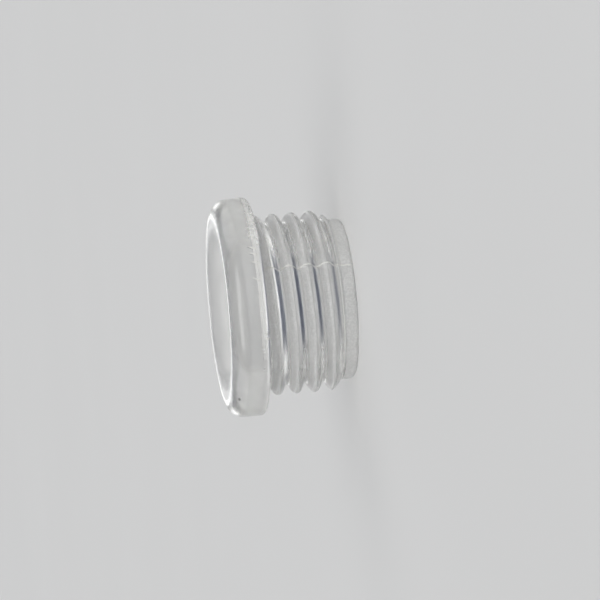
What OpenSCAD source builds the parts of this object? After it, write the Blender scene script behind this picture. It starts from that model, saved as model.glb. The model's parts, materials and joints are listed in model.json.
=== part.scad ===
// Threaded insulating nipple: one clear moulded bush that screws into a plate or a lamp part.
// Its collar stops it on the plate, and its bore is open from end to end, with rounded edges.
// The axis is Z. It stands on its thread end, with the collar on top.

/* [Thread] */
// Diameter over the crests
thread_d = 9.8; // [9:0.1:16]
// Distance from one crest to the next
pitch = 1; // [0.75:0.05:1.5]
// Radius of the rounded crests
crest_r = 0.18; // [0.12:0.01:0.2]
// Radius of the rounded roots
root_r = 0.1; // [0.06:0.01:0.13]
// Slope of the lead-in that trims the first turn, from the axis
lead_in_angle = 45; // [30:1:60]

/* [Shank] */
// Length from the thread end to the collar's seat
shank_l = 5; // [3:0.1:14]
// Length of the plain pilot below the thread
pilot_l = 0.65; // [0.4:0.05:2]
// How far the pilot stands outside the thread's roots
pilot_step = 0.03; // [0.02:0.01:0.15]
// Rounding of the pilot's outer edge
pilot_edge_r = 0.25; // [0.1:0.05:0.3]
// Height of the plain neck between thread and seat
neck_l = 0.1; // [0.05:0.05:0.5]
// How far the neck stands outside the crests
neck_step = 0.05; // [0.02:0.01:0.15]

/* [Collar] */
// How far the collar reaches past the crests
collar_reach = 1; // [0.7:0.05:4]
// Thickness of the collar
collar_t = 2; // [1.4:0.1:5]
// Rounding of the collar's outer edge
collar_edge_r = 0.9; // [0.3:0.05:1.1]
// Rounding of the seat's rim
seat_edge_r = 0.25; // [0.1:0.05:0.4]

/* [Bore] */
// Wall between the bore and the thread's roots
wall = 0.7; // [0.5:0.05:1.5]
// Rounding of the bore's mouth in the collar
mouth_r = 1.2; // [0.4:0.05:1.3]
// Rounding of the bore's edge at the thread end
bore_edge_r = 0.2; // [0.1:0.05:0.3]

/* [Hidden] */

// The narrowest flat ring that stays between two rounded edges
least_land = 0.1;
// How far a cutting shape runs past the face that it cuts
overrun = 1;
round_sides = 96;

// A metric thread has flanks at 30 degrees to its radius
half_angle = 30;
flank_turn = 90 - half_angle;
sharp_depth = pitch / (2 * tan(half_angle));
tip_loss = 1 / sin(half_angle) - 1;
thread_depth = sharp_depth - (crest_r + root_r) * tip_loss;
thread_r = thread_d / 2;
core_r = thread_r - thread_depth;

total_l = shank_l + collar_t;
neck_bottom = shank_l - neck_l;
// The threaded rod enters pilot and neck with short straight walls, half inside them and half outside
rod_sink = 0.03;
rod_bottom = pilot_l - rod_sink;
thread_start = pilot_l + rod_sink;
thread_stop = neck_bottom - rod_sink;
rod_top = neck_bottom + rod_sink;
collar_r = thread_r + collar_reach;
pilot_r = core_r + pilot_step;
neck_r = thread_r + neck_step;
bore_r = core_r - wall;

// Each fillet is limited by the wall that it rounds
end_wall = pilot_r - bore_r;
pilot_edge = min(pilot_edge_r, pilot_l - least_land, end_wall / 2);
bore_edge = min(bore_edge_r, end_wall - pilot_edge - least_land);
seat_edge = min(seat_edge_r, collar_r - neck_r - least_land);
collar_wall = collar_r - bore_r;
collar_edge = min(collar_edge_r, collar_t - seat_edge - least_land, collar_wall / 2);
mouth = min(mouth_r, collar_wall - collar_edge - least_land);

// Columns of points round one turn of the thread, and the steps along its rounded crests and roots
turn_columns = 64;
crest_steps = 3;
root_steps = 2;
// Points nearer than this to an end of the thread join that end's ring
ring_snap = 0.02;

// Half of the thread's section, from mid crest to mid root, as [distance along the axis, drop]
half_section = concat(
    [for (i = [0 : crest_steps])
        let (a = flank_turn * i / crest_steps)
        [crest_r * sin(a), crest_r * (1 - cos(a))]],
    [for (i = [root_steps : -1 : 0])
        let (a = flank_turn * i / root_steps)
        [pitch / 2 - root_r * sin(a), thread_depth - root_r * (1 - cos(a))]]);
mid_flank = (half_section[crest_steps] + half_section[crest_steps + 1]) / 2;

// Places along one pitch where the thread has a point, from one crest to the next
half_count = len(half_section);
stations = concat(
    [for (i = [0 : crest_steps]) half_section[i][0]],
    [mid_flank[0]],
    [for (i = [crest_steps + 1 : half_count - 1]) half_section[i][0]],
    [for (i = [half_count - 2 : -1 : crest_steps + 1]) pitch - half_section[i][0]],
    [pitch - mid_flank[0]],
    [for (i = [crest_steps : -1 : 1]) pitch - half_section[i][0]]);
station_count = len(stations);
row_count = station_count * (ceil((thread_stop - thread_start) / pitch) + 1);

// The rod's points are four rings, the middles of its two ends, and the rows of the thread
FOOT = 0;
START = 1;
STOP = 2;
HEAD = 3;
foot_middle = 4 * turn_columns;
head_middle = foot_middle + 1;
first_row = head_middle + 1;

// Height of a row of points at a column: the rows climb one pitch in one turn
function row_z(column, row) =
    thread_start + stations[row % station_count]
    + pitch * (floor(row / station_count) + column / turn_columns - 1);

// Distance along the axis from the nearest crest
function crest_distance(column, z) =
    let (turns = (z - thread_start) / pitch - column / turn_columns)
    pitch * abs(turns - round(turns));

// Point of the thread's surface, trimmed by the lead-in
function thread_point(column, z) =
    let (
        angle = 360 * column / turn_columns,
        full = thread_r - lookup(crest_distance(column, z), half_section),
        lead_in = core_r + (z - thread_start) * tan(lead_in_angle),
        r = min(full, lead_in))
    [r * cos(angle), r * sin(angle), z];

function ring_id(ring, column) = ring * turn_columns + column % turn_columns;

// Number of a row's point, where rows past an end of the thread share that end's ring
function row_id(column, row) =
    column == turn_columns ? row_id(0, row + station_count)
    : row_z(column, row) < thread_start + ring_snap ? ring_id(START, column)
    : row_z(column, row) > thread_stop - ring_snap ? ring_id(STOP, column)
    : first_row + column * (row_count + 1) + row;

// The faces of a four-sided patch, named as seen from outside, without those that have no width
function patch(low_left, low_right, high_right, high_left) = [
    for (face = [[low_left, high_left, high_right], [low_left, high_right, low_right]])
        if (face[0] != face[1] && face[1] != face[2] && face[2] != face[0]) face];

// Solid threaded rod from the pilot to the neck, right-handed, with flat ends
module thread_rod() {
    last = turn_columns - 1;
    start = [for (c = [0 : last]) thread_point(c, thread_start)];
    stop = [for (c = [0 : last]) thread_point(c, thread_stop)];
    points = concat(
        [for (p = start) [p[0], p[1], rod_bottom]],
        start,
        stop,
        [for (p = stop) [p[0], p[1], rod_top]],
        [[0, 0, rod_bottom], [0, 0, rod_top]],
        [for (c = [0 : last], r = [0 : row_count])
            thread_point(c, max(thread_start, min(thread_stop, row_z(c, r))))]);
    thread_faces = [
        for (c = [0 : last], r = [0 : row_count - 1])
            each patch(row_id(c, r), row_id(c + 1, r), row_id(c + 1, r + 1), row_id(c, r + 1))];
    wall_faces = [
        for (c = [0 : last], low = [FOOT, STOP])
            each patch(
                ring_id(low, c), ring_id(low, c + 1), ring_id(low + 1, c + 1), ring_id(low + 1, c))];
    end_faces = [
        for (c = [0 : last])
            each [
                [foot_middle, ring_id(FOOT, c), ring_id(FOOT, c + 1)],
                [head_middle, ring_id(HEAD, c + 1), ring_id(HEAD, c)]]];
    polyhedron(points, concat(thread_faces, wall_faces, end_faces));
}

// What a rounding takes off an outer corner whose arc has its centre at the origin
module corner_waste(r) {
    difference() {
        square(r + overrun);
        circle(r, $fn = round_sides);
    }
}

// Half section of the collar and the neck under it
module collar_section() {
    difference() {
        translate([0, shank_l]) square([collar_r, collar_t]);
        translate([collar_r - collar_edge, total_l - collar_edge]) corner_waste(collar_edge);
        translate([collar_r - seat_edge, shank_l + seat_edge]) mirror([0, 1]) corner_waste(seat_edge);
    }
    translate([0, neck_bottom]) square([neck_r, neck_l]);
}

// Half section of the plain pilot at the thread end
module pilot_section() {
    difference() {
        square([pilot_r, pilot_l]);
        translate([pilot_r - pilot_edge, pilot_edge]) mirror([0, 1]) corner_waste(pilot_edge);
    }
}

// Half section of the bore, with a flare at each end that leaves a rounded edge
module bore_section() {
    translate([0, -overrun]) square([bore_r, total_l + 2 * overrun]);
    difference() {
        translate([0, total_l - mouth]) square([bore_r + mouth, mouth + overrun]);
        translate([bore_r + mouth, total_l - mouth]) circle(mouth, $fn = round_sides);
    }
    difference() {
        translate([0, -overrun]) square([bore_r + bore_edge, bore_edge + overrun]);
        translate([bore_r + bore_edge, bore_edge]) circle(bore_edge, $fn = round_sides);
    }
}

module nipple() {
    color([0.86, 0.88, 0.9, 0.6])
    difference() {
        union() {
            rotate_extrude($fn = round_sides) collar_section();
            thread_rod();
            rotate_extrude($fn = round_sides) pilot_section();
        }
        rotate_extrude($fn = round_sides) bore_section();
    }
}

nipple();
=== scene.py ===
"""Looks of a threaded insulating nipple: one bush of clear plastic, moulded in one piece with its thread.
It stands on its thread end, with its axis along Z and the collar on top."""

import json
import math
import random

import bpy
import numpy as np
from mathutils import Matrix, Vector, noise


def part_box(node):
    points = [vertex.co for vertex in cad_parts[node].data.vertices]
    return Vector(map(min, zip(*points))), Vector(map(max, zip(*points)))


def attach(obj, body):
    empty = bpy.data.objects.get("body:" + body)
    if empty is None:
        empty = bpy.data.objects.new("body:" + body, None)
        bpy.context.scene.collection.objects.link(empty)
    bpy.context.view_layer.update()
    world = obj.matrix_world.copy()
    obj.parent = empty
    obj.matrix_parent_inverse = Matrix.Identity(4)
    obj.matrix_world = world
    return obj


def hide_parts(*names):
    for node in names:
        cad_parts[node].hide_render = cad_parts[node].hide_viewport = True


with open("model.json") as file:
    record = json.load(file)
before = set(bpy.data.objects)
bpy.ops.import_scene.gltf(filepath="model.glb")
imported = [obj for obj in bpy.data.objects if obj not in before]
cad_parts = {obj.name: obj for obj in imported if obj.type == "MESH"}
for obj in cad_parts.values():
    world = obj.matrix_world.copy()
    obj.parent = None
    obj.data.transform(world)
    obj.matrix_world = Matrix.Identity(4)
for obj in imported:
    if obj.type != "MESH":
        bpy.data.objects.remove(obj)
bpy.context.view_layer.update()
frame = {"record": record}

# All sizes below are in millimetres. These come from the frame
MM = 0.001
mounts = {mount["name"]: mount for mount in frame["record"]["mounts"]}
top_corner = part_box("nipple")[1] / MM
collar_r = top_corner.x
total_l = top_corner.z
bore_r = mounts["cable_bore"]["dims"]["r_mm"]
shank_l = mounts["collar_seat"]["pos_m"][2] / MM

# Thread
thread_d = 9.8
pitch = 1.0
crest_r = 0.26
root_r = 0.08
half_angle = math.radians(30)
lead_in_angle = math.radians(45)
# Width over which the lead-in blends into the crests
lead_in_blend = 0.1

# Shank, collar and bore
pilot_l = 0.65
pilot_r = 4.344
pilot_edge_r = 0.25
neck_l = 0.1
neck_step = 0.05
neck_fillet = 0.05
neck_edge_r = 0.03
collar_edge_r = 0.9
seat_edge_r = 0.25
mouth_r = 1.2
bore_edge_r = 0.2

thread_r = thread_d / 2
sharp_depth = pitch / (2 * math.tan(half_angle))
thread_depth = sharp_depth - (crest_r + root_r) * (1 / math.sin(half_angle) - 1)
neck_r = thread_r + neck_step
neck_bottom = shank_l - neck_l
# The thread's own rows start and end a little inside its length, where it meets the pilot and the neck
thread_margin = 0.03
thread_start = pilot_l + thread_margin
thread_stop = neck_bottom - thread_margin

# Finishes from the mould: roughness, share of the cutter's grain, and haze
collar_finish = np.array((0.21, 0.0, 0.4))
seat_finish = np.array((0.28, 0.5, 0.5))
bore_finish = np.array((0.34, 0.0, 0.3))
cut_finish = np.array((0.38, 1.0, 1.15))
# The flanks that face the end are nearly polished
flank_finish = np.array((0.09, 0.3, 0.0))
# Width over which the finish changes at crests and roots
finish_blend = 0.16

# The mould left a fine ridge along both sides of the shank, where its two halves met
parting_angle = math.radians(-66)
parting_height = 0.035
parting_width = 0.065
# Share of that width over which the ridge falls off
parting_slope = 0.6

# A finer line runs round the shank where the thread starts, higher in one half of the mould
start_line = 0.68
start_line_step = 0.12
start_line_height = 0.025
start_line_width = 0.024
start_line_wander = 0.012

# The directions of the marks below are in degrees, counted from this one towards +X
seen_from = -math.pi / 2

# Burrs on the edge of the thread end: direction, height above the end and size
end_burrs = (
    (46.0, 0.06, 0.08),
    (27.0, 0.10, 0.06),
    (-22.0, 0.08, 0.05),
    (150.0, 0.08, 0.07),
    (236.0, 0.06, 0.06))
burr_height = 0.06
burr_flash = 0.8

# The collar has a frosted band of flash between these heights above the seat, with fine lines along it
band_low = 0.2
band_high = 0.46
band_blur = 0.05
band_edge_wander = 0.03
band_line_spacing = 0.06
band_line_depth = 0.25
# Its strength by direction
band_directions = (-32, -20, 52, 60, 104, 120)
band_strengths = (0.12, 1.0, 1.0, 0.6, 0.6, 0.12)
# Ridges along the band: height above the seat, how far each stands out and its half width
band_ridges = ((0.33, 0.06, 0.024), (0.42, 0.03, 0.02), (0.22, 0.035, 0.02))
ridge_wander = 0.03
ridge_flash = 0.9
# Each ridge takes its unevenness from another place in the ring, so many columns further on
wander_shift = 97
ragged_shift = 131

# Torn teeth that point up from the band: direction, length, width and lean
torn_teeth = (
    (13.2, 0.36, 0.13, 0.55),
    (23.1, 0.35, 0.16, 0.15),
    (27.6, 0.32, 0.15, 0.35),
    (31.0, 0.37, 0.16, 0.50),
    (38.6, 0.29, 0.13, 0.30),
    (41.4, 0.26, 0.12, 0.25),
    (44.2, 0.29, 0.13, 0.30))
# More of them in the torn sector and a few in the rest of the ring: sector, number, and the ranges
# of the place in its own gap, the length, the width and the lean
torn_sector = (47, 104)
drawn_teeth = (
    (torn_sector, 22, (0, 0.7), (0.10, 0.22), (0.08, 0.14), (0, 0.4)),
    ((torn_sector[1], 360), 16, (0, 0.9), (0.06, 0.16), (0.07, 0.12), (-0.4, 0.4)))
tooth_height = 0.06
# Height of a tooth's foot above the seat, and the share of its length that it reaches below that
tooth_foot = 0.33
tooth_root = 0.2
# Half the width of a tooth's blunt tip
tooth_tip = 0.012

# Slivers that hang from the rim of the seat: direction, height above the seat, length and width
rim_slivers = ((-15.0, 0.20, 0.20, 0.10), (-17.6, 0.13, 0.24, 0.12), (52.0, 0.10, 0.30, 0.22))
sliver_height = 0.07

# Small nibs make the rim ragged in the torn sector, up to a height above the seat
nib_spacing = 0.2
nib_height = 0.05
nib_top = seat_edge_r + 0.05
nib_flash = 0.45
# They end so many radians past the sector, and fade out there by so much per radian
nib_margin = 0.3
nib_fade = 6

# A dark speck moulded into the collar: its place and its half sizes
speck_place = (-4.87, -2.96, 6.63)
speck_size = (0.14, 0.26, 0.08)

# The walls of a moulding sink by a few microns as they cool
sink_depth = 0.004
sink_width = 2.2

# Mesh: columns round the axis, how many times as many there are in the rows of the flash, and row spacings
column_count = 316
fine_share = 3
thread_row_step = 0.036
start_row_step = 0.018
band_row_step = 0.028
# The rows of the flash end at this height above the seat
band_top = 0.7
# Columns gather at the parting lines: how many, and how far to each side in widths of the line
ridge_columns = 9
ridge_reach = 1.4
# The other columns stay this many times as far away
ridge_clear = 1.2

# What each point of the skin carries for the material
skin_layers = ("rough", "grain", "haze", "flash")

# Lamps, with sizes in metres: all at one distance, each with its name, its direction from the part,
# its width along X, its depth and its radiance
lamp_distance = 3.0
lamps = (
    ("softbox_front", (0.0, -0.72, 0.69), 5.0, 1.1, 2.7),
    ("strip_back", (0.0, 0.98, 0.15), 0.5, 0.4, 2.0),
    ("strip_rim", (0.0, 0.951, 0.309), 1.2, 0.2, 3.0),
    ("softbox_left", (-0.85, 0.25, 0.46), 3.3, 2.6, 0.95),
    ("strip_back_left", (-0.28, 0.95, 0.13), 0.6, 0.6, 1.9),
    ("softbox_right", (0.85, 0.25, 0.46), 3.3, 2.6, 0.95),
    ("strip_back_right", (0.28, 0.95, 0.13), 0.6, 0.6, 1.9))


def arc(r, z, radius, start, stop, steps):
    """Points of a round stretch of the half section about a centre, between two directions in degrees."""
    angles = np.radians(np.linspace(start, stop, steps + 1))
    return [(r + radius * math.cos(a), z + radius * math.sin(a)) for a in angles]


def run(start, stop, steps):
    """Points of a straight stretch of the half section, without its two ends."""
    return [tuple(p) for p in np.linspace(start, stop, steps + 1)[1:-1]]


def heights_down(top, bottom, step):
    """Heights from one to another in even steps of about one size."""
    return np.linspace(top, bottom, round((top - bottom) / step) + 1)


def turned(angles, middle):
    """Angles from a middle direction, from -180 to 180 degrees, in radians."""
    return (angles - middle + math.pi) % (2 * math.pi) - math.pi


def ring_distance(angles, direction, radius):
    """Distance round a ring from the direction of a mark."""
    return turned(angles, seen_from + math.radians(direction)) * radius


def ring_noise(angles, radius, size, seed):
    """Smooth noise from -1 to 1 round a ring, with features of about one size. Close seeds are alike."""
    return np.array([
        noise.noise(Vector((radius * math.cos(a) / size, radius * math.sin(a) / size, seed)))
        for a in angles])


def uneven(angles, radius, size, seed, middle, swing, least, most):
    """Strength of a mark round a ring: noise about a middle value, kept between two limits."""
    return np.clip(middle + swing * ring_noise(angles, radius, size, seed), least, most)


def column_angles():
    """Directions of the columns, closer together at the two parting lines."""
    ridge = np.linspace(-ridge_reach, ridge_reach, ridge_columns) * parting_width / thread_r
    angles = np.arange(column_count) * 2 * math.pi / column_count - math.pi
    for line in (parting_angle, parting_angle + math.pi):
        others = angles[np.abs(turned(angles, line)) > ridge_clear * ridge[-1]]
        angles = np.concatenate([others, line + ridge])
    return np.sort(turned(angles, 0))


def split_columns(angles):
    """The same directions with more of them in each gap."""
    gaps = np.diff(np.append(angles, angles[0] + 2 * math.pi))
    return (angles[:, None] + gaps[:, None] * np.arange(fine_share) / fine_share).ravel()


def from_crest(angles, z):
    """Distance along the axis from the nearest crest, up being positive."""
    turns = (z - thread_start) / pitch - angles / (2 * math.pi)
    return pitch * (turns - np.round(turns))


def thread_finish(angles, z):
    """Finish of the thread at a height: cut on crests and on flanks that face the collar, else polished."""
    off = from_crest(angles, z)
    past_crest = np.clip(0.5 + off / finish_blend, 0, 1)
    before_root = np.clip((pitch / 2 - off) / finish_blend, 0, 1)
    share = np.minimum(past_crest, before_root)
    return flank_finish[:, None] + (cut_finish - flank_finish)[:, None] * share


def thread_radius(angles, z):
    """Radius of the threaded surface at a height: rounded crests and roots, trimmed by the lead-in."""
    along = np.abs(from_crest(angles, z))
    crest_end = crest_r * math.cos(half_angle)
    root_end = pitch / 2 - root_r * math.cos(half_angle)
    crest_drop = crest_r - np.sqrt(np.clip(crest_r ** 2 - along ** 2, 0, None))
    root_drop = thread_depth - root_r + np.sqrt(np.clip(root_r ** 2 - (pitch / 2 - along) ** 2, 0, None))
    flank_drop = crest_r * (1 - math.sin(half_angle)) + (along - crest_end) / math.tan(half_angle)
    drop = np.where(along < crest_end, crest_drop, np.where(along > root_end, root_drop, flank_drop))
    full = thread_r - drop
    lead_in = pilot_r + (z - thread_start) * math.tan(lead_in_angle)
    share = np.clip(0.5 + (full - lead_in) / (2 * lead_in_blend), 0, 1)
    return full * (1 - share) + lead_in * share - lead_in_blend * share * (1 - share)


def ring_row(angles, radius, z, finish):
    """One row of points round the axis with its finish, and no flash yet."""
    roughness, grain, haze = finish
    return {
        "angles": angles,
        "radius": radius * np.ones_like(angles),
        "z": z,
        "rough": roughness * np.ones_like(angles),
        "grain": grain * np.ones_like(angles),
        "haze": haze * np.ones_like(angles),
        "flash": np.zeros_like(angles),
    }


def add_mark(row, shape, height, flash=1.0):
    """Raises a row of the skin by a mark's height times its shape, and frosts it there."""
    row["radius"] += height * shape
    row["flash"] = np.maximum(row["flash"], flash * shape)


def add_start_line(row):
    """A fine, broken ridge round the shank where the thread starts."""
    other_half = turned(row["angles"], parting_angle) < 0
    wander = ring_noise(row["angles"], thread_r, size=0.5, seed=8.3)
    middle = start_line + start_line_step * other_half + start_line_wander * wander
    broken = uneven(
        row["angles"], thread_r, size=0.3, seed=6.1, middle=0.7, swing=1.0, least=0.15, most=1.0)
    ridge = broken * np.exp(-(((row["z"] - middle) / start_line_width) ** 2))
    add_mark(row, ridge, start_line_height)


def add_parting_lines(row):
    """A ridge along each side of the shank, fading out at the rounded end."""
    fade = min(1.0, row["z"] / pilot_edge_r)
    for line in (parting_angle, parting_angle + math.pi):
        apart = turned(row["angles"], line) * thread_r
        ridge = fade * np.exp(-((apart / (parting_slope * parting_width)) ** 2))
        add_mark(row, ridge, parting_height)


def add_end_burrs(row):
    """Small burrs on the outer edge of the thread end."""
    if row["z"] < pilot_edge_r and row["radius"].min() > pilot_r - pilot_edge_r:
        for direction, height, size in end_burrs:
            apart = ring_distance(row["angles"], direction, pilot_r)
            burr = np.exp(-((apart / size) ** 2) - ((row["z"] - height) / size) ** 2)
            add_mark(row, burr, burr_height, burr_flash)


def flash_teeth():
    """All torn teeth, those placed and those drawn: direction, length, width and lean."""
    dice = random.Random(4)
    teeth = list(torn_teeth)
    for (first, last), count, places, lengths, widths, leans in drawn_teeth:
        for i in range(count):
            direction = first + (last - first) * (i + dice.uniform(*places)) / count
            teeth.append((direction, dice.uniform(*lengths), dice.uniform(*widths), dice.uniform(*leans)))
    return teeth


def rim_nibs(angles):
    """Where the rim of the seat is ragged, from 0 to 1 round the ring."""
    nibs = uneven(angles, collar_r, nib_spacing, seed=5.9, middle=-0.1, swing=1.8, least=0.0, most=1.0)
    sector_middle = math.radians(sum(torn_sector) / 2)
    half_sector = math.radians(torn_sector[1] - torn_sector[0]) / 2 + nib_margin
    return nibs * np.clip((half_sector - np.abs(turned(angles, seen_from + sector_middle))) * nib_fade, 0, 1)


def add_flash(rows):
    """The frosted band above the rim of the seat, with its ridges and torn teeth, and the ragged rim."""
    angles = rows[0]["angles"]
    strength = np.interp(np.degrees(turned(angles, seen_from)), band_directions, band_strengths)
    wander = ring_noise(angles, collar_r, size=0.9, seed=3.1)
    coarse = ring_noise(angles, collar_r, size=0.45, seed=7.7)
    fine = ring_noise(angles, collar_r, size=0.16, seed=1.3)
    ragged = np.clip(0.55 + 0.5 * coarse + 0.6 * fine, 0.1, 1.2)
    scuff = uneven(angles, collar_r, size=0.7, seed=2.3, middle=0.45, swing=0.5, least=0.15, most=0.8)
    nibs = rim_nibs(angles)
    teeth = flash_teeth()

    for row in rows:
        above = row["z"] - shank_l
        edge = band_edge_wander * ring_noise(angles, collar_r, size=0.12, seed=4 + 6 * above)
        rising = np.clip((above - band_low + edge) / band_blur, 0, 1)
        falling = np.clip((band_high - above + edge) / band_blur, 0, 1)
        lines = 1 - band_line_depth * (1 - math.sin(above / band_line_spacing * 2 * math.pi))
        row["flash"] = strength * scuff * lines * rising * falling

        for number, (height, out, half_width) in enumerate(band_ridges):
            off = (above - height - ridge_wander * np.roll(wander, wander_shift * number)) / half_width
            ridge = strength * np.roll(ragged, ragged_shift * number) * np.exp(-off ** 2)
            add_mark(row, ridge, out, ridge_flash)
        row["flash"] = np.clip(row["flash"], 0, 1)

        for direction, length, width, lean in teeth:
            up = (above - tooth_foot) / length
            if -tooth_root < up < 1:
                apart = ring_distance(angles, direction, collar_r) - lean * up * length
                half_width = 0.5 * width * (1 - max(up, 0)) + tooth_tip
                tooth = np.clip(1 - np.abs(apart) / half_width, 0, 1)
                row["radius"] += tooth_height * strength * tooth
                row["flash"] = np.maximum(row["flash"], strength * np.sqrt(tooth))

        for direction, height, length, width in rim_slivers:
            apart = ring_distance(angles, direction, collar_r)
            sliver = np.exp(-((above - height) / (0.5 * length)) ** 2 - (apart / (0.5 * width)) ** 2)
            add_mark(row, sliver, sliver_height)

        nib = math.sin(math.pi * min(1.0, above / nib_top)) * nibs
        add_mark(row, nib, nib_height, nib_flash)


def skin_rows():
    """Rows of the whole skin: up the bore, over the collar, down the thread and across its end."""
    angles = column_angles()
    fine_angles = split_columns(angles)
    collar_top = total_l - collar_edge_r
    rim_z = shank_l + seat_edge_r
    fine_top = shank_l + band_top
    fine_stop = start_line + start_line_step + 2 * start_line_width

    bore = arc(bore_r + bore_edge_r, bore_edge_r, bore_edge_r, 270, 180, steps=5)
    bore += run((bore_r, bore_edge_r), (bore_r, total_l - mouth_r), steps=8)
    bore += arc(bore_r + mouth_r, total_l - mouth_r, mouth_r, 180, 90, steps=16)
    collar = arc(collar_r - collar_edge_r, collar_top, collar_edge_r, 90, 0, steps=14)
    collar += run((collar_r, collar_top), (collar_r, fine_top), steps=3)
    band = [(collar_r, fine_top)]
    band += run((collar_r, fine_top), (collar_r, rim_z), steps=round((fine_top - rim_z) / band_row_step))
    # The rim's last stretch is left to the coarser rows of the seat
    band += arc(collar_r - seat_edge_r, rim_z, seat_edge_r, 0, -78, steps=10)
    seat = [(collar_r - seat_edge_r, shank_l)]
    seat += run((collar_r - seat_edge_r, shank_l), (neck_r + neck_fillet, shank_l), steps=3)
    seat += arc(neck_r + neck_fillet, shank_l - neck_fillet, neck_fillet, 90, 180, steps=3)
    seat += arc(neck_r - neck_edge_r, neck_bottom + neck_edge_r, neck_edge_r, 0, -90, steps=3)
    under_neck = (thread_radius(angles, thread_stop) + neck_r) / 2
    heights = np.concatenate([
        heights_down(thread_stop, fine_stop, thread_row_step)[:-1],
        heights_down(fine_stop, thread_start, start_row_step)])
    pilot = [(pilot_r, pilot_l), (pilot_r, pilot_l - thread_margin)]
    pilot += run((pilot_r, pilot_l - thread_margin), (pilot_r, pilot_edge_r), steps=5)
    pilot += arc(pilot_r - pilot_edge_r, pilot_edge_r, pilot_edge_r, 0, -90, steps=8)
    pilot += run((pilot_r - pilot_edge_r, 0), (bore_r + bore_edge_r, 0), steps=2)

    flash_rows = [ring_row(fine_angles, r, z, collar_finish) for r, z in band]
    add_flash(flash_rows)
    shank_rows = [ring_row(angles, under_neck, neck_bottom - thread_margin / 2, cut_finish)]
    shank_rows += [ring_row(angles, thread_radius(angles, z), z, thread_finish(angles, z)) for z in heights]
    shank_rows += [ring_row(angles, r, z, cut_finish) for r, z in pilot]
    for row in shank_rows:
        add_start_line(row)
        add_parting_lines(row)
        add_end_burrs(row)

    rows = [ring_row(angles, r, z, bore_finish) for r, z in bore]
    rows += [ring_row(angles, r, z, collar_finish) for r, z in collar]
    rows += flash_rows
    rows += [ring_row(angles, r, z, seat_finish) for r, z in seat]
    rows += shank_rows
    for row in rows:
        sink = ring_noise(row["angles"], collar_r, sink_width, seed=10 + row["z"] / sink_width)
        row["radius"] += sink_depth * sink
    return rows


def nipple_mesh():
    """The whole moulding as one closed skin, from its rows of points."""
    rows = skin_rows()
    points = []
    numbers = []
    for row in rows:
        start = len(points)
        points += zip(
            (row["radius"] * np.cos(row["angles"]) * MM).tolist(),
            (row["radius"] * np.sin(row["angles"]) * MM).tolist(),
            [row["z"] * MM] * len(row["angles"]))
        numbers.append(list(range(start, len(points))) + [start])

    # One face fills each gap of the coarser of two rows, and takes in the finer row's points there
    faces = []
    for first, second in zip(numbers, numbers[1:] + numbers[:1]):
        gaps = min(len(first), len(second)) - 1
        first_step = (len(first) - 1) // gaps
        second_step = (len(second) - 1) // gaps
        for i in range(gaps):
            one_side = second[second_step * i:second_step * (i + 1) + 1]
            other_side = first[first_step * i:first_step * (i + 1) + 1]
            faces.append(one_side + other_side[::-1])

    mesh = bpy.data.meshes.new("nipple_clear")
    mesh.from_pydata(points, [], faces)
    mesh.polygons.foreach_set("use_smooth", [True] * len(mesh.polygons))
    for name in skin_layers:
        layer = mesh.attributes.new(name, "FLOAT", "POINT")
        layer.data.foreach_set("value", np.concatenate([row[name] for row in rows]).astype(np.float32))
    mesh.update()
    return mesh


def linear(hex_colour):
    """A colour written as sRGB hex, as the linear values that a socket takes."""
    parts = [int(hex_colour[i:i + 2], 16) / 255 for i in (1, 3, 5)]
    return tuple(c / 12.92 if c <= 0.04045 else ((c + 0.055) / 1.055) ** 2.4 for c in parts) + (1.0,)


def add_node(tree, kind, inputs=None, **settings):
    """Adds a node with its settings and its inputs, each a value or the socket that feeds it."""
    made = tree.nodes.new(kind)
    for name, value in settings.items():
        setattr(made, name, value)
    for name, value in (inputs or {}).items():
        if isinstance(value, bpy.types.NodeSocket):
            tree.links.new(value, made.inputs[name])
        else:
            made.inputs[name].default_value = value
    return made


def new_tree(data):
    """An empty node tree of a material or a world."""
    data.use_nodes = True
    data.node_tree.nodes.clear()
    return data.node_tree


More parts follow.
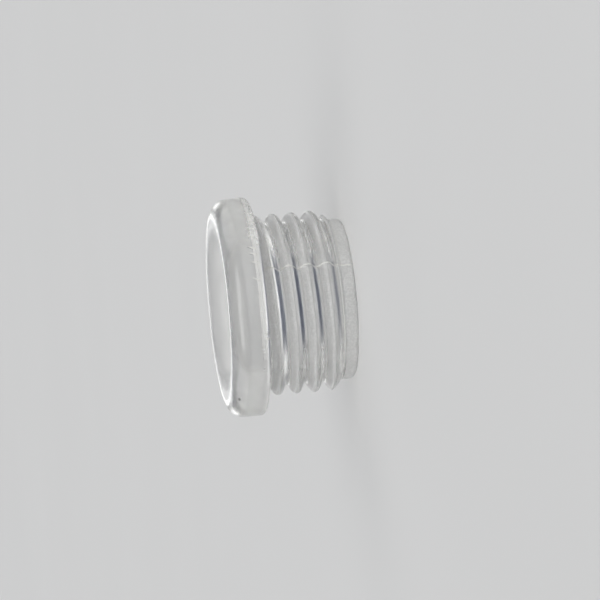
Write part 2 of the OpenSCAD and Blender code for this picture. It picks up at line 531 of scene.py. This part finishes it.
def clear_polycarbonate():
    """Clear polycarbonate, injection moulded: colourless, slightly milky, and polished on the collar.
    The thread is satin, because its part of the mould was cut and not polished, the bore is matt from its
    core pin, and torn flash scatters light and looks whitish."""
    # Widths are in millimetres and heights in microns
    grain_width = 0.1
    grain_height = 14.0
    ripple_spacing = 0.13
    ripple_share = 0.12
    sway_width = 0.3
    sway_turn = 9.0
    streak_width = 0.07
    streak_length = 2.0
    streak_height = 0.5
    # The tops of the grain rise between these values of its noise
    tops_from = 0.45
    tops_full = 0.6
    # Roughness varies between these shares, and is higher where the plastic is torn
    least_rough = 0.85
    most_rough = 1.15
    torn_rough = 0.65
    # Shares of the light that the surface scatters: polished, in the hollows and on the tops of the grain,
    # torn, and at the speck
    polished_milky = 0.25
    hollows_milky = 0.16
    tops_milky = 0.38
    torn_milky = 0.85
    speck_milky = 0.97
    # The speck's edge, in shares of its half sizes
    speck_outside = 1.1
    speck_inside = 0.6

    material = bpy.data.materials.new("clear_polycarbonate_moulded")
    tree = new_tree(material)
    place = add_node(tree, "ShaderNodeTexCoord").outputs["Object"]
    place = add_node(tree, "ShaderNodeVectorMath", {0: place, "Scale": 1 / MM}, operation="SCALE").outputs[0]
    rough, grain_share, haze, flash = (
        add_node(tree, "ShaderNodeAttribute", attribute_name=name).outputs["Fac"] for name in skin_layers)

    # Grain of the cut steel, on the cut parts
    grain = add_node(tree, "ShaderNodeTexNoise", {
        "Vector": place,
        "Scale": 1 / grain_width,
        "Detail": 2.0,
    }).outputs["Fac"]
    # Cutter chatter: ripples round the thread, bent by a slow noise
    spot = add_node(tree, "ShaderNodeSeparateXYZ", {0: place})
    angle = add_node(tree, "ShaderNodeMath", {
        0: spot.outputs["Y"],
        1: spot.outputs["X"],
    }, operation="ARCTAN2").outputs[0]
    sway = add_node(tree, "ShaderNodeTexNoise", {
        "Vector": place,
        "Scale": 1 / sway_width,
        "Detail": 1.0,
    }).outputs["Fac"]
    sway = add_node(tree, "ShaderNodeMath", {0: sway, 1: sway_turn}, operation="MULTIPLY").outputs[0]
    phase = add_node(tree, "ShaderNodeMath", {
        0: angle,
        1: round(2 * math.pi * thread_r / ripple_spacing),
        2: sway,
    }, operation="MULTIPLY_ADD").outputs[0]
    chatter = add_node(tree, "ShaderNodeMath", {0: phase}, operation="SINE").outputs[0]
    chatter = add_node(tree, "ShaderNodeMath", {
        0: chatter,
        1: ripple_share,
        2: grain,
    }, operation="MULTIPLY_ADD").outputs[0]
    cut = add_node(tree, "ShaderNodeMath", {0: chatter, 1: grain_height}, operation="MULTIPLY").outputs[0]
    # Polishing streaks round the collar
    along = add_node(tree, "ShaderNodeVectorMath", {
        0: place,
        1: (1 / streak_length, 1 / streak_length, 1 / streak_width),
    }, operation="MULTIPLY").outputs[0]
    streaks = add_node(tree, "ShaderNodeTexNoise", {
        "Vector": along,
        "Scale": 1.0,
        "Detail": 2.0,
    }).outputs["Fac"]
    polished = add_node(
        tree, "ShaderNodeMath", {0: streaks, 1: streak_height}, operation="MULTIPLY").outputs[0]
    height = add_node(tree, "ShaderNodeMix", {"Factor": grain_share, "A": polished, "B": cut}).outputs[0]
    bump = add_node(tree, "ShaderNodeBump", {"Height": height, "Strength": 1.0, "Distance": 0.001 * MM})

    # Roughness: as the mould left it, a little uneven, and frosted where the flash is
    uneven = add_node(tree, "ShaderNodeMapRange", {
        "Value": streaks,
        "To Min": least_rough,
        "To Max": most_rough,
    }).outputs[0]
    moulded = add_node(tree, "ShaderNodeMath", {0: rough, 1: uneven}, operation="MULTIPLY").outputs[0]
    roughness = add_node(tree, "ShaderNodeMix", {"Factor": flash, "A": moulded, "B": torn_rough}).outputs[0]

    # A speck of burnt plastic
    off = add_node(tree, "ShaderNodeVectorMath", {0: place, 1: speck_place}, operation="SUBTRACT").outputs[0]
    off = add_node(tree, "ShaderNodeVectorMath", {0: off, 1: speck_size}, operation="DIVIDE").outputs[0]
    off = add_node(tree, "ShaderNodeVectorMath", {0: off}, operation="LENGTH").outputs["Value"]
    speck = add_node(tree, "ShaderNodeMapRange", {
        "Value": off,
        "From Min": speck_outside,
        "From Max": speck_inside,
        "To Max": speck_milky,
    }).outputs[0]

    # The tops of the grain scatter light, so that the haze is speckled where the grain is
    tops = add_node(tree, "ShaderNodeMapRange", {
        "Value": grain,
        "From Min": tops_from,
        "From Max": tops_full,
    }).outputs[0]
    speckle = add_node(tree, "ShaderNodeMapRange", {
        "Value": tops,
        "To Min": hollows_milky,
        "To Max": tops_milky,
    }).outputs[0]
    milky = add_node(tree, "ShaderNodeMix", {
        "Factor": grain_share,
        "A": polished_milky,
        "B": speckle,
    }).outputs[0]
    milky = add_node(tree, "ShaderNodeMath", {0: milky, 1: haze}, operation="MULTIPLY").outputs[0]
    # Torn plastic and the speck let little light through
    milky = add_node(tree, "ShaderNodeMath", {
        0: flash,
        1: torn_milky,
        2: milky,
    }, operation="MULTIPLY_ADD").outputs[0]
    milky = add_node(tree, "ShaderNodeMath", {0: milky, 1: speck}, operation="MAXIMUM").outputs[0]
    clearness = add_node(
        tree, "ShaderNodeMath", {0: 1.0, 1: milky}, operation="SUBTRACT", use_clamp=True).outputs[0]

    # Nearly white, with painted shade in the hollows of the grain, warm white where torn, and the dark speck
    hollows = add_node(tree, "ShaderNodeMath", {0: 1.0, 1: tops}, operation="SUBTRACT").outputs[0]
    hollows = add_node(tree, "ShaderNodeMath", {0: hollows, 1: grain_share}, operation="MULTIPLY").outputs[0]
    colour = linear("#fcfcfb")
    for share, tone in ((hollows, "#eaeae9"), (flash, "#f6f5f0"), (speck, "#262320")):
        colour = add_node(tree, "ShaderNodeMix", {
            "Factor": share,
            "A": colour,
            "B": linear(tone),
        }, data_type="RGBA").outputs[2]

    shader = add_node(tree, "ShaderNodeBsdfPrincipled", {
        "Base Color": colour,
        "Roughness": roughness,
        "IOR": 1.58,
        "Transmission Weight": clearness,
        "Normal": bump.outputs["Normal"],
    })
    depth = add_node(tree, "ShaderNodeVolumeAbsorption", {"Color": linear("#e9e9e6"), "Density": 70.0})
    add_node(tree, "ShaderNodeOutputMaterial", {
        "Surface": shader.outputs["BSDF"],
        "Volume": depth.outputs["Volume"],
    })
    return material


def pale_floor():
    """Matt pale board under the part, with a barely uneven tone."""
    mottle_width = 40.0
    own_share = 0.45

    material = bpy.data.materials.new("pale_board")
    tree = new_tree(material)
    place = add_node(tree, "ShaderNodeTexCoord").outputs["Object"]
    mottle = add_node(tree, "ShaderNodeTexNoise", {
        "Vector": place,
        "Scale": 1 / (mottle_width * MM),
    }).outputs["Fac"]
    tone = add_node(tree, "ShaderNodeMix", {
        "Factor": mottle,
        "A": linear("#d7d7d6"),
        "B": linear("#dadad9"),
    }, data_type="RGBA")
    shader = add_node(tree, "ShaderNodeBsdfPrincipled", {"Base Color": tone.outputs[2], "Roughness": 0.8})
    # Part of its tone is its own, also in what is seen through the part, so that the shadow stays faint
    glow = add_node(tree, "ShaderNodeEmission", {"Color": tone.outputs[2], "Strength": 1.0})
    ray = add_node(tree, "ShaderNodeLightPath").outputs
    seen = ray["Is Camera Ray"]
    for kind in ("Is Glossy Ray", "Is Transmission Ray"):
        seen = add_node(tree, "ShaderNodeMath", {0: seen, 1: ray[kind]}, operation="MAXIMUM").outputs[0]
    share = add_node(tree, "ShaderNodeMath", {0: seen, 1: own_share}, operation="MULTIPLY").outputs[0]
    surface = add_node(tree, "ShaderNodeMixShader", {
        0: share,
        1: shader.outputs["BSDF"],
        2: glow.outputs[0],
    })
    add_node(tree, "ShaderNodeOutputMaterial", {"Surface": surface.outputs[0]})
    return material


def add_object(name, data):
    """Puts a new object into the scene."""
    made = bpy.data.objects.new(name, data)
    bpy.context.scene.collection.objects.link(made)
    return made


def add_floor():
    """The board that the part stands on. Half its width is in metres."""
    half = 3.0
    mesh = bpy.data.meshes.new("floor")
    corners = [(-half, -half, 0), (half, -half, 0), (half, half, 0), (-half, half, 0)]
    mesh.from_pydata(corners, [], [(0, 1, 2, 3)])
    mesh.materials.append(pale_floor())
    add_object("floor", mesh)


def add_softbox(name, direction, width, depth, radiance):
    """A softbox that faces the part from a direction, with the same radiance all over."""
    lamp = bpy.data.lights.new(name, "AREA")
    lamp.shape = "RECTANGLE"
    lamp.size = width
    lamp.size_y = depth
    lamp.energy = radiance * math.pi * width * depth
    made = add_object(name, lamp)
    toward = Vector(direction).normalized()
    made.location = toward * lamp_distance
    made.rotation_euler = toward.to_track_quat("Z", "Y").to_euler()


def add_world():
    """A pale studio with a dark, cool strip that hangs over the part and down behind it."""
    world = bpy.data.worlds.new("studio")
    bpy.context.scene.world = world
    tree = new_tree(world)
    direction = add_node(tree, "ShaderNodeTexCoord").outputs["Generated"]
    toward = add_node(tree, "ShaderNodeSeparateXYZ", {0: direction}).outputs
    sideways = add_node(tree, "ShaderNodeMath", {0: toward["X"]}, operation="ABSOLUTE").outputs[0]
    # Edges of the strip: a coordinate of the direction, its value outside the strip and its value inside
    edges = (
        (sideways, 0.65, 0.45),
        (toward["Y"], -0.6, -0.35),
        (toward["Z"], 0.2, 0.3))
    share = 1.0
    for value, outside, inside in edges:
        edge = add_node(tree, "ShaderNodeMapRange", {
            "Value": value,
            "From Min": outside,
            "From Max": inside,
        }, interpolation_type="SMOOTHSTEP").outputs[0]
        share = add_node(tree, "ShaderNodeMath", {0: share, 1: edge}, operation="MULTIPLY").outputs[0]
    tone = add_node(tree, "ShaderNodeMix", {
        "Factor": share,
        "A": linear("#cfcfce"),
        "B": linear("#12264a"),
    }, data_type="RGBA")
    light = add_node(tree, "ShaderNodeBackground", {"Color": tone.outputs[2], "Strength": 1.0})
    add_node(tree, "ShaderNodeOutputWorld", {"Surface": light.outputs["Background"]})


def add_camera():
    """The photograph's view: from the -Y side, a little above the seat's plane, the axis nearly level."""
    # Fitted to the photograph's outline, with the middle of the seat at seat_px from its left and top
    distance = 250.0
    elevation = math.radians(7.15)
    tilt = math.radians(5.1)
    picture_px = 600
    px_per_mm = 18.484
    seat_px = (255.2, 306.3)
    sensor = 36.0

    toward = Vector((0, -math.cos(elevation), math.sin(elevation)))
    axis_seen = Vector((0, math.sin(elevation), math.cos(elevation)))
    side = Vector((1, 0, 0))
    right = -axis_seen * math.cos(tilt) - side * math.sin(tilt)
    up = -axis_seen * math.sin(tilt) + side * math.cos(tilt)
    middle = picture_px / 2
    target = Vector((0, 0, shank_l))
    target += right * (middle - seat_px[0]) / px_per_mm - up * (middle - seat_px[1]) / px_per_mm

    data = bpy.data.cameras.new("camera")
    data.sensor_width = sensor
    data.lens = sensor * distance * px_per_mm / picture_px
    data.clip_start = 0.01
    camera = add_object("camera", data)
    turn = Matrix((right, up, toward)).transposed().to_4x4()
    camera.matrix_world = Matrix.Translation((target + toward * distance) * MM) @ turn
    bpy.context.scene.camera = camera


add_camera()
add_world()
add_floor()
for lamp in lamps:
    add_softbox(*lamp)

nipple_data = nipple_mesh()
nipple_data.materials.append(clear_polycarbonate())
nipple = add_object("nipple_moulding", nipple_data)
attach(nipple, "root")
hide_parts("nipple")

bpy.context.scene.view_settings.view_transform = "Standard"
# Light goes round inside the clear walls many times before it leaves them
light_paths = bpy.context.scene.cycles
light_paths.max_bounces = 32
light_paths.glossy_bounces = 24
light_paths.transmission_bounces = 32
